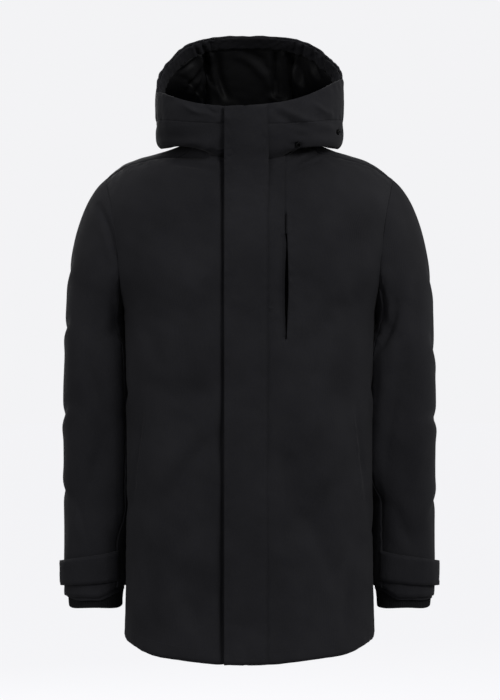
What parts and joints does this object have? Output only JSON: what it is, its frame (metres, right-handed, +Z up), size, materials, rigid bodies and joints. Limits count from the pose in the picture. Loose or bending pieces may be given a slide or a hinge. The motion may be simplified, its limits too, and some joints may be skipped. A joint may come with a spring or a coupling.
{
  "type": "parka",
  "caption": "Hip-length hooded parka in matt black cloth with a quilted hood lining, filled out and hollow as if worn",
  "frame": {"origin": "the middle of the neck opening, level with the root of the hood, where the wearer's neck comes through", "axes": "+X to the wearer's left, +Y to the wearer's back, +Z up"},
  "size_m": [0.6116, 0.3055, 0.9938],
  "materials": {
    "shell_fabric": "matt close-woven outer cloth",
    "lining_fabric": "shiny quilted nylon lining",
    "rib_knit": "matt ribbed knit",
    "zip": "woven tape with moulded teeth",
    "eyelet_metal": "black enamelled brass"
  },
  "bodies": {
    "root": {"front_right": "shell_fabric", "front_left": "shell_fabric", "back": "shell_fabric", "sleeve_top_right": "shell_fabric", "sleeve_top_left": "shell_fabric", "sleeve_under_right": "shell_fabric", "sleeve_under_left": "shell_fabric", "collar": "shell_fabric", "hood_right": "shell_fabric", "hood_centre": "shell_fabric", "hood_left": "shell_fabric", "hood_facing": "shell_fabric", "placket": "shell_fabric", "hand_pocket_welt_right": "shell_fabric", "hand_pocket_welt_left": "shell_fabric", "cuff_strap_right": "shell_fabric", "cuff_strap_left": "shell_fabric", "lining_right": "lining_fabric", "lining_centre": "lining_fabric", "lining_left": "lining_fabric", "chest_pocket_bag": "lining_fabric", "rib_cuff_right": "rib_knit", "rib_cuff_left": "rib_knit", "zip_tape": "zip", "zip_chain": "zip", "hood_eyelet_front": "eyelet_metal", "hood_eyelet_side": "eyelet_metal"}
  },
  "joints": []
}
